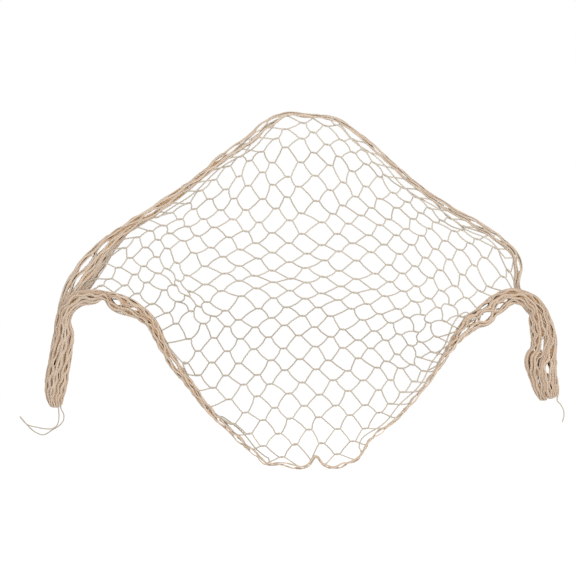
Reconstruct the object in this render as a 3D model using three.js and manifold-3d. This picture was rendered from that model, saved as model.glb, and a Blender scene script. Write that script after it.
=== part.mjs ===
// A decorative fishing net: one piece of knotted twine netting, hung by the middle of its long edge
// and drawn together at both sides, where its gathered ends hang down as tails.
// Millimetres, +Z up, +Y away from the viewer. The origin is the top, where the net hangs.

import * as THREE from 'three';
import { mergeVertices } from 'three/addons/utils/BufferGeometryUtils.js';
import Module from 'manifold-3d';

const wasm = await Module();
wasm.setup();

// Twine, meshes and knots
const TWINE_DIAMETER = 2;
const BAR_HALF_WIDTH = 1.2;
const BAR_HALF_DEPTH = 1;
const KNOT_HALF_LENGTH = 2.4;
const KNOT_HALF_HEIGHT = 1.5;
const KNOT_RISE = 2.4;
const KNOT_CLEARANCE = 9;
const KNOT_SCATTER = { x: 3.2, y: 4, z: 3.2 };
const SCATTER_MIX = { column: 12.9898, halfRow: 78.233, channel: 37.719, spread: 43758.5453 };
const BAR_END_SHARE = 0.75;

// Gathered edges: ribs of drawn-together twine run along them and turn once in RIB_TURN_ROWS sections
const RIB_COUNT = 6;
const RIB_DEPTH = 0.2;
const RIB_TURN_ROWS = 16;
const SECTION_STEP = 38;
const PLACES_PER_ROW = 6;

// Loose ends
const CORD_SIDES = 8;
const CORD_STEP = 5;
const SEAT_GAP = 0.3;

const TWINE_COLOUR = 0xc6ae96;

const named = (columns, rows) => rows.map((row) => {
  const entries = columns.map((column, i) => [column, row[i]]);
  return Object.fromEntries(entries);
});

// The two gathered edges, a row for each section: its middle, its half width in the face of the net
// and its half depth from front to back.
const SECTION_COLUMNS = ['x', 'y', 'z', 'halfWidth', 'halfDepth'];

// Upper edge, from inside the left tail over the top to inside the right tail
const UPPER_EDGE = named(SECTION_COLUMNS, [
  [-511, -34, -482, 13, 9],
  [-506, -28, -441, 18, 10],
  [-478, -20, -389, 29, 11],
  [-445, -16, -345, 28, 10],
  [-412, -14, -303, 21, 9],
  [-364, -12, -260, 13, 7],
  [-310, -10, -225, 13.5, 6.5],
  [-255, -8, -187, 11.5, 6],
  [-206, -6, -149.5, 8.5, 5.5],
  [-155, -4, -106, 11.5, 6],
  [-97, -3, -66, 11, 6],
  [-54, -1, -30, 10, 6],
  [-7, 0, -5, 6, 5],
  [32, 0, -8, 6, 5],
  [65, -1, -10, 5.5, 5],
  [106, -2, -18, 5.5, 5],
  [142, -3, -41, 6, 5],
  [180, -4, -72, 6.5, 5],
  [227, -6, -115, 7, 5],
  [280, -8, -162, 7.5, 5.5],
  [339, -10, -205, 8.5, 5.5],
  [393, -12, -237, 9, 6],
  [437, -13, -263, 10, 6.5],
  [475, -14, -290, 9, 6.5],
  [507, -14, -320, 9.5, 7],
  [516, -14, -354, 10, 7],
  [513, -16, -396, 8, 7],
  [531, -24, -431, 11, 8],
  [558, -34, -463, 12, 9],
]);
const UPPER_CORNERS = { left: 2.2, right: 25.4 };

// Lower edge, from the foot of the left tail along the hem to the foot of the right tail
const LOWER_EDGE = named(SECTION_COLUMNS, [
  // Left tail, from its foot up
  [-528, -30, -662, 15, 12],
  [-531, -30, -641, 21.5, 15],
  [-529, -30, -617, 26.5, 17],
  [-523, -30, -578, 26.5, 18],
  [-516, -31, -537, 26, 18],
  [-511, -32, -503, 24, 17],
  [-512, -34, -472, 18, 16],
  // Lower left edge
  [-502, -38, -443, 18, 15],
  [-477, -42, -422, 18.5, 14],
  [-446, -45, -417, 18, 13],
  [-418, -47, -413, 11, 10],
  [-389, -50, -430, 21.5, 12],
  [-360, -53, -441, 21, 12],
  [-335, -56, -454, 17, 10],
  [-310, -60, -478, 14, 9],
  [-291, -67, -514, 13, 8],
  [-263, -78, -562, 12, 8],
  [-221, -90, -616, 10, 7],
  [-180, -101, -670, 8, 6],
  [-145, -107, -703, 7, 5.5],
  // Scalloped hem
  [-104, -113, -743, 6, 5],
  [-74, -116, -768, 5, 4.5],
  [-52, -118, -788, 4.5, 4],
  [-18, -121, -787, 5, 4.5],
  [20, -122, -796, 5, 4.5],
  [42, -122, -789, 5, 4.5],
  [58, -122, -770, 4.5, 4],
  [74, -122, -788, 4.5, 4],
  [97, -121, -796, 5, 4.5],
  [126, -119, -787, 5, 4.5],
  [153, -116, -775, 5, 4.5],
  [168, -114, -752, 4.5, 4],
  // Lower right edge
  [184, -112, -730, 6, 5],
  [228, -106, -697, 5.5, 5],
  [265, -98, -660, 5.5, 5],
  [300, -90, -618, 5.5, 5],
  [328, -81, -581, 6, 5.5],
  [352, -72, -543, 8, 6.5],
  [376, -64, -508, 13, 8],
  [406, -56, -477, 20, 10],
  [436, -51, -458, 22, 11],
  [468, -46, -431, 23, 12],
  [500, -43, -416, 19, 13],
  [529, -40, -421, 18, 14],
  // Right tail, down to its foot
  [555, -37, -441, 19.5, 15],
  [564, -34, -468, 26, 17],
  [573, -32, -512, 30, 18],
  [572, -31, -537, 31, 18],
  [567, -30, -562, 38, 18],
  [571, -30, -593, 33, 18],
  [580, -30, -625, 29, 16],
  [586, -30, -646, 22, 13],
]);
const LOWER_CORNERS = { left: 8.4, right: 42.6 };

// Rows of meshes in the open panel, two half rows to a mesh: where the middle of the row hangs, how
// wide its meshes are, and how far it rises at RISE_SPAN to the left and to the right
const RISE_SPAN = 300;
const MESH_ROWS = named(['halfRow', 'x', 'y', 'z', 'meshWidth', 'riseLeft', 'riseRight'], [
  [0, 0, -2, -17, 61, -40, -10],
  [5, 0, -11, -151, 63, -30, -25],
  [9, 2, -30, -255, 68, 15, -20],
  [11, 2, -46, -301, 73, 25, -28],
  [14, -4, -86, -356, 75, 25, -40],
  [17, -10, -124, -415, 71, 5, -42],
  [20, -12, -134, -484, 67, 0, -15],
  [24, -6, -138, -583, 66, -10, 10],
  [28, 6, -132, -692, 67, -20, 20],
  [32, 18, -122, -800, 67, -20, 20],
]);
const OUTERMOST_COLUMN = 18;

// The panel takes the depth of a gathered edge that is nearer than DRAPE_REACH, and its meshes crowd
// towards the upper edge: by CROWDING, most of all at CROWDING_REACH from it
const DRAPE_REACH = 90;
const CROWDING = 16;
const CROWDING_REACH = 60;

// Slack folds in the panel: middle of the fold, its lean, reach, breadth, squeeze and forward rise
const FOLDS = named(['x', 'z', 'leanDegrees', 'halfLength', 'halfWidth', 'squeeze', 'rise'], [
  [-186, -412, 12, 95, 38, 15, 18],
  [322, -448, -38, 75, 38, 15, 18],
]);

// Long gaps between the strands of the gathered edges: the row along the edge, how far across it
// from the middle (-1 to 1), and the gap's length and width
const GAP_COLUMNS = ['row', 'across', 'length', 'width'];
const UPPER_GAPS = named(GAP_COLUMNS, [
  [2.1, -0.2, 60, 8],
  [2.9, -0.5, 66, 10],
  [3.8, -0.3, 56, 8],
  [5.9, 0, 48, 6],
  [10.3, 0.1, 48, 7],
  [11.4, -0.1, 36, 6],
  [24.8, -0.1, 36, 6],
]);
const LOWER_GAPS = named(GAP_COLUMNS, [
  [11.3, -0.15, 40, 7],
  [16.1, 0, 52, 6],
  [38.6, 0.1, 40, 8],
  [40.1, -0.2, 48, 11],
  [41, 0.3, 40, 9],
  [46.4, 0.1, 48, 10],
  [48.6, -0.34, 44, 11],
]);

// Reads a table of sections at any place along it, as a smooth curve through its rows.
function sectionAt(table, row) {
  const last = table.length - 1;
  const i = Math.min(Math.floor(row), last - 1);
  const f = row - i;
  const rows = [i - 1, i, i + 1, i + 2].map((k) => table[Math.min(Math.max(k, 0), last)]);
  const blend = (name) => {
    const [p, q, r, s] = rows.map((entry) => entry[name]);
    const slope = (r - p) / 2;
    const next = (s - q) / 2;
    return q + f * (slope + f * (3 * (r - q) - 2 * slope - next + f * (2 * (q - r) + slope + next)));
  };
  return {
    middle: new THREE.Vector3(blend('x'), blend('y'), blend('z')),
    halfWidth: blend('halfWidth'),
    halfDepth: blend('halfDepth'),
  };
}

// Rows at which an edge has a section: each row of its table, and more where two rows lie far apart.
function sectionRows(table) {
  const rows = [0];
  for (let row = 1; row < table.length; row += 1) {
    const span = sectionAt(table, row).middle.distanceTo(sectionAt(table, row - 1).middle);
    const parts = Math.max(1, Math.round(span / SECTION_STEP));
    for (let part = 1; part <= parts; part += 1) rows.push(row - 1 + part / parts);
  }
  return rows;
}

// Directions at one place of an edge: along it, across it in the face of the net, and its depth.
function edgeFrame(table, row) {
  const last = table.length - 1;
  const nearby = 1 / (2 * PLACES_PER_ROW);
  const ahead = sectionAt(table, Math.min(row + nearby, last)).middle;
  const along = ahead.sub(sectionAt(table, Math.max(row - nearby, 0)).middle).normalize();
  const across = new THREE.Vector3(0, 1, 0).cross(along).normalize();
  const depth = along.clone().cross(across);
  return { along, across, depth };
}

// A closed mesh from corner points and triangles, ready to join or cut.
function solidOf(points, triangles) {
  const vertProperties = new Float32Array(points.flatMap((p) => [p.x, p.y, p.z]));
  const triVerts = new Uint32Array(triangles.flat());
  return new wasm.Manifold(new wasm.Mesh({ numProp: 3, vertProperties, triVerts }));
}

function geometryOf(solid) {
  const mesh = solid.getMesh();
  const geometry = new THREE.BufferGeometry();
  geometry.setAttribute('position', new THREE.BufferAttribute(new Float32Array(mesh.vertProperties), 3));
  geometry.setIndex(new THREE.BufferAttribute(new Uint32Array(mesh.triVerts), 1));
  return geometry;
}

// One gathered edge: ribbed sections joined along its length. The feet of the tails are level.
function gatheredEdge(table, levelFeet) {
  const last = table.length - 1;
  const rows = sectionRows(table);
  const count = rows.length - 1;
  const sides = 2 * RIB_COUNT;
  const points = [];
  const triangles = [];
  rows.forEach((row, ring) => {
    const { middle, halfWidth, halfDepth } = sectionAt(table, row);
    const { across, depth } = edgeFrame(table, row);
    const foot = levelFeet && (ring === 0 || ring === count);
    if (foot) {
      across.set(Math.sign(across.x), 0, 0);
      depth.set(0, Math.sign(depth.y), 0);
    }
    const turn = (2 * Math.PI * row) / RIB_TURN_ROWS;
    for (let side = 0; side < sides; side += 1) {
      const angle = turn + (2 * Math.PI * side) / sides;
      const reach = side % 2 === 0 ? 1 : 1 - RIB_DEPTH;
      const point = middle.clone();
      point.addScaledVector(across, reach * halfWidth * Math.cos(angle));
      point.addScaledVector(depth, reach * halfDepth * Math.sin(angle));
      points.push(point);
    }
  });
  for (let ring = 0; ring < count; ring += 1) {
    for (let side = 0; side < sides; side += 1) {
      const next = (side + 1) % sides;
      const here = ring * sides;
      const there = here + sides;
      triangles.push([here + side, there + next, there + side]);
      triangles.push([here + side, here + next, there + next]);
    }
  }
  for (const [ring, row] of [[0, 0], [count, last]]) {
    const centre = points.push(sectionAt(table, row).middle) - 1;
    for (let side = 0; side < sides; side += 1) {
      const pair = [ring * sides + side, ring * sides + ((side + 1) % sides)];
      triangles.push(ring === 0 ? [centre, pair[1], pair[0]] : [centre, ...pair]);
    }
  }
  return solidOf(points, triangles);
}

// A leaf-shaped cutter for one gap between strands, pushed through the edge from front to back.
function gapCutter(table, gap) {
  const { middle, halfWidth, halfDepth } = sectionAt(table, gap.row);
  const { along, across, depth } = edgeFrame(table, gap.row);
  const half = gap.length / 2;
  const leaf = new THREE.Shape();
  leaf.moveTo(-half, 0);
  leaf.lineTo(0, -gap.width / 2);
  leaf.lineTo(half, 0);
  leaf.lineTo(0, gap.width / 2);
  const through = 4 * halfDepth;
  const geometry = new THREE.ExtrudeGeometry(leaf, { depth: through, bevelEnabled: false });
  geometry.translate(0, 0, -through / 2);
  middle.addScaledVector(across, gap.across * halfWidth);
  geometry.applyMatrix4(new THREE.Matrix4().makeBasis(along, across, depth).setPosition(middle));
  geometry.deleteAttribute('normal');
  geometry.deleteAttribute('uv');
  const merged = mergeVertices(geometry);
  const position = merged.getAttribute('position');
  const points = [];
  for (let i = 0; i < position.count; i += 1) {
    points.push(new THREE.Vector3().fromBufferAttribute(position, i));
  }
  const index = Array.from(merged.getIndex().array);
  const triangles = [];
  for (let i = 0; i < index.length; i += 3) triangles.push(index.slice(i, i + 3));
  return solidOf(points, triangles);
}

// Closely spaced places along the middle of an edge, between its two corners
function edgePlaces(table, corners) {
  const places = [];
  for (let row = corners.left; row <= corners.right; row += 1 / PLACES_PER_ROW) {
    places.push(sectionAt(table, row));
  }
  return places;
}

const upperPlaces = edgePlaces(UPPER_EDGE, UPPER_CORNERS);
const lowerPlaces = edgePlaces(LOWER_EDGE, LOWER_CORNERS);
const outline = [...upperPlaces, ...lowerPlaces.toReversed()].map((place) => place.middle);

// The place of an edge that lies nearest to a point, as seen from the front.
function nearest(places, point) {
  const away = (place) => Math.hypot(place.middle.x - point.x, place.middle.z - point.z);
  const place = places.reduce((best, other) => (away(other) < away(best) ? other : best));
  return { place, distance: Math.max(away(place), TWINE_DIAMETER) };
}

// Whether a point lies inside the outline of the panel, as seen from the front.
function isInside(point) {
  let inside = false;
  outline.forEach((corner, i) => {
    const next = outline[(i + 1) % outline.length];
    const straddles = (corner.z > point.z) !== (next.z > point.z);
    const crossing = corner.x + ((next.x - corner.x) * (point.z - corner.z)) / (next.z - corner.z);
    if (straddles && point.x < crossing) inside = !inside;
  });
  return inside;
}

// A repeatable scatter between -1 and 1 for each knot, so that no two meshes are quite alike.
function scatter(column, halfRow, channel) {
  const mix = SCATTER_MIX;
  const phase = column * mix.column + halfRow * mix.halfRow + channel * mix.channel;
  const wave = Math.sin(phase) * mix.spread;
  return 2 * (wave - Math.floor(wave)) - 1;
}

function meshRowAt(halfRow) {
  const last = MESH_ROWS.length - 1;
  const found = MESH_ROWS.findIndex((row) => row.halfRow >= halfRow);
  const i = Math.max(found < 0 ? last : found, 1);
  const [above, below] = [MESH_ROWS[i - 1], MESH_ROWS[i]];
  const f = (halfRow - above.halfRow) / (below.halfRow - above.halfRow);
  const blend = (name) => above[name] + f * (below[name] - above[name]);
  return {
    middle: new THREE.Vector3(blend('x'), blend('y'), blend('z')),
    width: blend('meshWidth'),
    riseLeft: blend('riseLeft'),
    riseRight: blend('riseRight'),
  };
}

// Where a knot hangs. Columns count half meshes from the middle; a knot has an even column plus row.
function knotPlace(column, halfRow) {
  const row = meshRowAt(halfRow);
  const point = row.middle.clone();
  const aside = (column * row.width) / 2;
  point.x += aside;
  point.z += (aside < 0 ? row.riseLeft : row.riseRight) * (aside / RISE_SPAN) ** 2;

  const above = nearest(upperPlaces, point);
  const inset = Math.max(above.distance - above.place.halfWidth, 0) / CROWDING_REACH;
  const drawn = (CROWDING * inset * Math.exp(1 - inset)) / above.distance;
  point.x += (above.place.middle.x - point.x) * drawn;
  point.z += (above.place.middle.z - point.z) * drawn;

  for (const fold of FOLDS) {
    const lean = THREE.MathUtils.degToRad(fold.leanDegrees);
    const dx = point.x - fold.x;
    const dz = point.z - fold.z;
    const off = (dx * Math.cos(lean) + dz * Math.sin(lean)) / fold.halfWidth;
    const down = (dz * Math.cos(lean) - dx * Math.sin(lean)) / fold.halfLength;
    const strength = Math.exp(-down * down);
    const draw = fold.squeeze * off * Math.exp((1 - off * off) / 2) * strength;
    point.x -= draw * Math.cos(lean);
    point.z -= draw * Math.sin(lean);
    point.y -= fold.rise * Math.exp(-off * off) * strength;
  }

  const upper = nearest(upperPlaces, point);
  const lower = nearest(lowerPlaces, point);
  const pulls = [
    { y: point.y, weight: DRAPE_REACH ** -2 },
    { y: upper.place.middle.y, weight: upper.distance ** -2 },
    { y: lower.place.middle.y, weight: lower.distance ** -2 },
  ];
  const total = pulls.reduce((sum, pull) => sum + pull.weight, 0);
  point.y = pulls.reduce((sum, pull) => sum + (pull.y * pull.weight) / total, 0);
  point.x += KNOT_SCATTER.x * scatter(column, halfRow, 0);
  point.y += KNOT_SCATTER.y * scatter(column, halfRow, 1);
  point.z += KNOT_SCATTER.z * scatter(column, halfRow, 2);
  return point;
}

const isClear = (places, point) => {
  const { place, distance } = nearest(places, point);
  return distance > place.halfWidth + KNOT_CLEARANCE;
};

// The open panel. Each knot is a raised lozenge with a bar on each of its four sides, and front and
// back have the same outline. A bar with no knot beyond it ends inside the nearest gathered edge.
function openPanel() {
  const points = [];
  const triangles = [];
  const put = (point) => points.push(point) - 1;
  const pairOf = (point, normal) => ({
    front: put(point.clone().addScaledVector(normal, BAR_HALF_DEPTH)),
    back: put(point.clone().addScaledVector(normal, -BAR_HALF_DEPTH)),
  });
  const wall = (p, q) => {
    triangles.push([p.front, p.back, q.front]);
    triangles.push([q.front, p.back, q.back]);
  };

  const knots = new Map();
  const lastHalfRow = MESH_ROWS[MESH_ROWS.length - 1].halfRow;
  for (let halfRow = 0; halfRow <= lastHalfRow; halfRow += 1) {
    for (let column = -OUTERMOST_COLUMN; column <= OUTERMOST_COLUMN; column += 1) {
      if ((column + halfRow) % 2 !== 0) continue;
      const middle = knotPlace(column, halfRow);
      if (!isInside(middle) || !isClear(upperPlaces, middle) || !isClear(lowerPlaces, middle)) continue;
      const beyond = {
        upLeft: knotPlace(column - 1, halfRow - 1),
        upRight: knotPlace(column + 1, halfRow - 1),
        downRight: knotPlace(column + 1, halfRow + 1),
        downLeft: knotPlace(column - 1, halfRow + 1),
      };
      const right = beyond.upRight.clone().add(beyond.downRight);
      right.sub(beyond.upLeft).sub(beyond.downLeft).normalize();
      const down = beyond.downLeft.clone().add(beyond.downRight).sub(beyond.upLeft).sub(beyond.upRight);
      down.addScaledVector(right, -down.dot(right)).normalize();
      const normal = down.clone().cross(right);
      const corner = (direction, reach) => pairOf(middle.clone().addScaledVector(direction, reach), normal);
      const knot = {
        column,
        halfRow,
        middle,
        normal,
        beyond,
        top: corner(down, -KNOT_HALF_HEIGHT),
        right: corner(right, KNOT_HALF_LENGTH),
        foot: corner(down, KNOT_HALF_HEIGHT),
        left: corner(right, -KNOT_HALF_LENGTH),
      };
      const crown = put(middle.clone().addScaledVector(normal, KNOT_RISE));
      const base = put(middle.clone().addScaledVector(normal, -KNOT_RISE));
      const ring = [knot.top, knot.right, knot.foot, knot.left];
      ring.forEach((here, i) => {
        const next = ring[(i + 1) % ring.length];
        triangles.push([crown, next.front, here.front]);
        triangles.push([base, here.back, next.back]);
      });
      knots.set(`${column},${halfRow}`, knot);
    }
  }

  // A bar between two pairs of corners: left and right as seen going along it from its first end
  const bar = (startLeft, startRight, endLeft, endRight) => {
    triangles.push([startLeft.front, startRight.front, endRight.front]);
    triangles.push([startLeft.front, endRight.front, endLeft.front]);
    triangles.push([startLeft.back, endRight.back, startRight.back]);
    triangles.push([startLeft.back, endLeft.back, endRight.back]);
    wall(endLeft, startLeft);
    wall(startRight, endRight);
  };
  const barToEdge = (knot, beyond, startLeft, startRight) => {
    const goal = knot.middle.clone().lerp(beyond, BAR_END_SHARE);
    const upper = nearest(upperPlaces, goal);
    const lower = nearest(lowerPlaces, goal);
    const end = (upper.distance < lower.distance ? upper : lower).place.middle;
    const aside = end.clone().sub(knot.middle).cross(knot.normal).normalize().multiplyScalar(BAR_HALF_WIDTH);
    const endRight = pairOf(end.clone().add(aside), knot.normal);
    const endLeft = pairOf(end.clone().sub(aside), knot.normal);
    bar(startLeft, startRight, endLeft, endRight);
    wall(endRight, endLeft);
  };
  for (const knot of knots.values()) {
    const { column, halfRow, beyond, top, right, foot, left } = knot;
    const downLeft = knots.get(`${column - 1},${halfRow + 1}`);
    const downRight = knots.get(`${column + 1},${halfRow + 1}`);
    if (downLeft) bar(foot, left, downLeft.right, downLeft.top);
    else barToEdge(knot, beyond.downLeft, foot, left);
    if (downRight) bar(right, foot, downRight.top, downRight.left);
    else barToEdge(knot, beyond.downRight, right, foot);
    if (!knots.has(`${column - 1},${halfRow - 1}`)) barToEdge(knot, beyond.upLeft, left, top);
    if (!knots.has(`${column + 1},${halfRow - 1}`)) barToEdge(knot, beyond.upRight, top, right);
  }
  return solidOf(points, triangles);
}

function withGaps(table, gaps, levelFeet) {
  return gaps.reduce(
    (edge, gap) => edge.subtract(gapCutter(table, gap)),
    gatheredEdge(table, levelFeet),
  );
}

const twine = new THREE.MeshStandardMaterial({ color: TWINE_COLOUR, roughness: 0.95, metalness: 0 });

function piece(name, geometry) {
  geometry.computeVertexNormals();
  const mesh = new THREE.Mesh(geometry, twine.clone());
  mesh.name = name;
  return mesh;
}

// Loose twine ends, from the level feet of the tails to their free ends
const footOf = (section) => section.z - SEAT_GAP;
const LEFT_FOOT = footOf(LOWER_EDGE[0]);
const RIGHT_FOOT = footOf(LOWER_EDGE[LOWER_EDGE.length - 1]);
const point = (x, y, z) => new THREE.Vector3(x, y, z);
const LOOSE_ENDS = {
  loose_end_left_a: [
    point(-523, -33, LEFT_FOOT),
    point(-523, -33, LEFT_FOOT - 8),
    point(-522, -35, -688),
    point(-525, -38, -705),
    point(-535, -41, -714),
    point(-550, -44, -715),
    point(-572, -46, -711),
    point(-593, -46, -705),
    point(-609, -45, -689),
  ],
  loose_end_left_b: [
    point(-518, -27, LEFT_FOOT),
    point(-518, -27, LEFT_FOOT - 8),
    point(-512, -27, -682),
    point(-512, -29, -696),
    point(-520, -32, -707),
    point(-537, -34, -718),
    point(-557, -36, -729),
    point(-577, -37, -722),
    point(-595, -37, -705),
    point(-610, -36, -687),
  ],
  loose_end_right: [
    point(604, -30, RIGHT_FOOT),
    point(604, -30, RIGHT_FOOT - 6),
    point(611, -31, -660),
    point(618, -32, -673),
    point(619, -33, -687),
    point(615, -34, -701),
  ],
};

function cord(points) {
  const path = new THREE.CatmullRomCurve3(points);
  const circle = new THREE.Shape();
  for (let side = 0; side < CORD_SIDES; side += 1) {
    const angle = (2 * Math.PI * side) / CORD_SIDES;
    const corner = [Math.cos(angle), Math.sin(angle)].map((value) => (value * TWINE_DIAMETER) / 2);
    if (side === 0) circle.moveTo(...corner);
    else circle.lineTo(...corner);
  }
  const steps = Math.round(path.getLength() / CORD_STEP);
  return new THREE.ExtrudeGeometry(circle, { steps, extrudePath: path, curveSegments: CORD_SIDES });
}

const net = openPanel()
  .add(withGaps(UPPER_EDGE, UPPER_GAPS, false))
  .add(withGaps(LOWER_EDGE, LOWER_GAPS, true));

const group = new THREE.Group();
group.add(piece('net', geometryOf(net)));
for (const [name, points] of Object.entries(LOOSE_ENDS)) {
  group.add(piece(name, cord(points)));
}

export default group;
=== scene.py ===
import math

import bpy
import numpy as np
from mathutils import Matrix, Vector


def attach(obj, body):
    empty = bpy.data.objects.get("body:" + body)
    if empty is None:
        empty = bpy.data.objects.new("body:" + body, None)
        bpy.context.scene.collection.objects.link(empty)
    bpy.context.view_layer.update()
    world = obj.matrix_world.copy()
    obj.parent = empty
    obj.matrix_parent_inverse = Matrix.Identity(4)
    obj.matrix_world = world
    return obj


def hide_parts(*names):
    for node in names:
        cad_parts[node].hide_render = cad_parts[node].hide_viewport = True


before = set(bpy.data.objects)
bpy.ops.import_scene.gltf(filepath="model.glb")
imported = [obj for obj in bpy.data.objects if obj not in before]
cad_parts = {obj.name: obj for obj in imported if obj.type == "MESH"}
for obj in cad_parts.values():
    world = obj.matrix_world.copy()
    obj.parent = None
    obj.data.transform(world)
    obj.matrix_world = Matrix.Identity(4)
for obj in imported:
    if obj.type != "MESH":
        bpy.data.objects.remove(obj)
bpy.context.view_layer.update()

# Camera. A long lens far off shows the hung net nearly without perspective. It stands about level
# with the top of the net and looks very slightly down at its middle.
VIEW_MIDDLE = Vector((-0.0045, -0.06, -0.396))
VIEW_DISTANCE = 9.0
VIEW_RISE = math.radians(2.5)
VIEW_LENS = 250
VIEW_FILM_WIDTH = 36
VIEW_END = 40
scene = bpy.context.scene
camera_data = bpy.data.cameras.new("camera")
camera_data.lens = VIEW_LENS
camera_data.sensor_width = VIEW_FILM_WIDTH
camera_data.clip_end = VIEW_END
camera = bpy.data.objects.new("camera", camera_data)
back_off = Vector((0, -math.cos(VIEW_RISE), math.sin(VIEW_RISE)))
camera.location = VIEW_MIDDLE + VIEW_DISTANCE * back_off
camera.rotation_euler = (math.radians(90) - VIEW_RISE, 0, 0)
scene.collection.objects.link(camera)
scene.camera = camera
scene.view_settings.view_transform = "Standard"

# Loose ends. Two twines hang from the foot of the left tail and one from the right, where the
# netting was cut from the loom. Each is the panel's own twine, a 2 mm natural cotton of three soft
# plies that spread to about 3.5 mm over their crests, and ends bare.
MM = 0.001
PANEL_DIAMETER = 3.3 * MM
LOOSE_LAY = 16 * MM
TWINE_STEP = 2.5 * MM
PLIES = 3
PLY_CREST = 0.54
PLY_GROOVE = 0.42
ROUTE_POINTS = 31
CURVE_STEPS = 24
LOOSE_ENDS = {
    # points in m, from where a twine leaves its tail to its free end
    "loose_end_left_a": [
        (-0.523, -0.033, -0.6623),
        (-0.523, -0.033, -0.6703),
        (-0.522, -0.035, -0.688),
        (-0.525, -0.038, -0.705),
        (-0.535, -0.041, -0.714),
        (-0.550, -0.044, -0.715),
        (-0.572, -0.046, -0.711),
        (-0.593, -0.046, -0.705),
        (-0.609, -0.045, -0.689),
    ],
    "loose_end_left_b": [
        (-0.518, -0.027, -0.6623),
        (-0.518, -0.027, -0.6703),
        (-0.512, -0.027, -0.682),
        (-0.512, -0.029, -0.696),
        (-0.520, -0.032, -0.707),
        (-0.537, -0.034, -0.718),
        (-0.557, -0.036, -0.729),
        (-0.577, -0.037, -0.722),
        (-0.595, -0.037, -0.705),
        (-0.610, -0.036, -0.687),
    ],
    "loose_end_right": [
        (0.604, -0.030, -0.6463),
        (0.604, -0.030, -0.6523),
        (0.611, -0.031, -0.660),
        (0.618, -0.032, -0.673),
        (0.619, -0.033, -0.687),
        (0.615, -0.034, -0.701),
    ],
}


def smooth_route(points, count):
    """An even run of points on the smooth curve through a loose end's points."""
    points = np.array(points)
    points = np.vstack([2 * points[0] - points[1], points, 2 * points[-1] - points[-2]])
    run = []
    for p, q, r, s in zip(points, points[1:], points[2:], points[3:]):
        a, b, c = (np.linalg.norm(v) ** 0.5 for v in (q - p, r - q, s - r))
        leave = ((q - p) / a - (r - p) / (a + b) + (r - q) / b) * b
        reach = ((r - q) / b - (s - q) / (b + c) + (s - r) / c) * b
        f = np.linspace(0, 1, CURVE_STEPS, endpoint=False)[:, None]
        bend = 3 * (r - q) - 2 * leave - reach + f * (2 * (q - r) + leave + reach)
        run.append(q + f * (leave + f * bend))
    run = np.vstack([*run, points[-2]])
    along = np.append(0, np.cumsum(np.linalg.norm(np.diff(run, axis=0), axis=1)))
    even = np.linspace(0, along[-1], count)
    return np.stack([np.interp(even, along, run[:, axis]) for axis in range(3)], axis=1)


WEAR_SCALE = 45
WEAR_DETAIL = 3
WEAR_TINT = (0.62, 0.60, 0.57, 1)
FIBRE_SCALE = 1400
FIBRE_DETAIL = 2
FIBRE_SHARE = 0.3
FIBRE_SHADE = (0.72, 0.68, 0.62, 1)
# painted shade: how much and how dark the colour is made in the grooves between the plies, where shade
# falls
GROOVE_PAINTED_SHADE_SHARE = 0.4
GROOVE_PAINTED_SHADE = (0.45, 0.38, 0.32, 1)
HAIR_STRENGTH = 0.35
HAIR_HEIGHT = 0.3 * MM


def twine_look():
    """Undyed twisted fibre: painted shade between the plies, hairy, no two strands quite alike."""
    group = bpy.data.node_groups.new("twine_look", "ShaderNodeTree")
    for way, label, kind in (
        ("INPUT", "Pale", "NodeSocketColor"),
        ("INPUT", "Deep", "NodeSocketColor"),
        ("OUTPUT", "Colour", "NodeSocketColor"),
        ("OUTPUT", "Normal", "NodeSocketVector"),
    ):
        group.interface.new_socket(label, in_out=way, socket_type=kind)
    nodes, links = group.nodes, group.links
    given = nodes.new("NodeGroupInput")
    result = nodes.new("NodeGroupOutput")
    place = nodes.new("ShaderNodeTexCoord")

    def noise(scale, detail):
        node = nodes.new("ShaderNodeTexNoise")
        node.inputs["Scale"].default_value = scale
        node.inputs["Detail"].default_value = detail
        links.new(place.outputs["Object"], node.inputs["Vector"])
        return node.outputs["Fac"]

    def blend(kind, share, first, second):
        """A mix of two colours, which are sockets 6 and 7 of its node."""
        node = nodes.new("ShaderNodeMix")
        node.data_type = "RGBA"
        node.blend_type = kind
        for socket, value in ((0, share), (6, first), (7, second)):
            if isinstance(value, bpy.types.NodeSocket):
                links.new(value, node.inputs[socket])
            else:
                node.inputs[socket].default_value = value
        return node.outputs[2]

    def own(name):
        node = nodes.new("ShaderNodeAttribute")
        node.attribute_name = name
        return node.outputs["Fac"]

    strand = blend("MIX", own("tone"), given.outputs["Deep"], given.outputs["Pale"])
    worn = blend("SOFT_LIGHT", noise(WEAR_SCALE, WEAR_DETAIL), strand, WEAR_TINT)
    fibre = noise(FIBRE_SCALE, FIBRE_DETAIL)
    hairy = blend("MIX", FIBRE_SHARE, worn, blend("MULTIPLY", fibre, worn, FIBRE_SHADE))
    # painted shade: darkens the colour in the grooves between the plies
    grooved = nodes.new("ShaderNodeMath")
    grooved.operation = "MULTIPLY"
    grooved.inputs[1].default_value = GROOVE_PAINTED_SHADE_SHARE
    links.new(own("groove"), grooved.inputs[0])
    shaded = blend("MULTIPLY", grooved.outputs[0], hairy, GROOVE_PAINTED_SHADE)
    links.new(shaded, result.inputs["Colour"])
    bump = nodes.new("ShaderNodeBump")
    bump.inputs["Strength"].default_value = HAIR_STRENGTH
    bump.inputs["Distance"].default_value = HAIR_HEIGHT
    links.new(fibre, bump.inputs["Height"])
    links.new(bump.outputs["Normal"], result.inputs["Normal"])
    return group


fibre_look = twine_look()
MATT_FIBRE = {
    "Roughness": 0.92,
    "Specular IOR Level": 0.2,
    "Sheen Weight": 0.2,
    "Sheen Roughness": 0.6,
}


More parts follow.
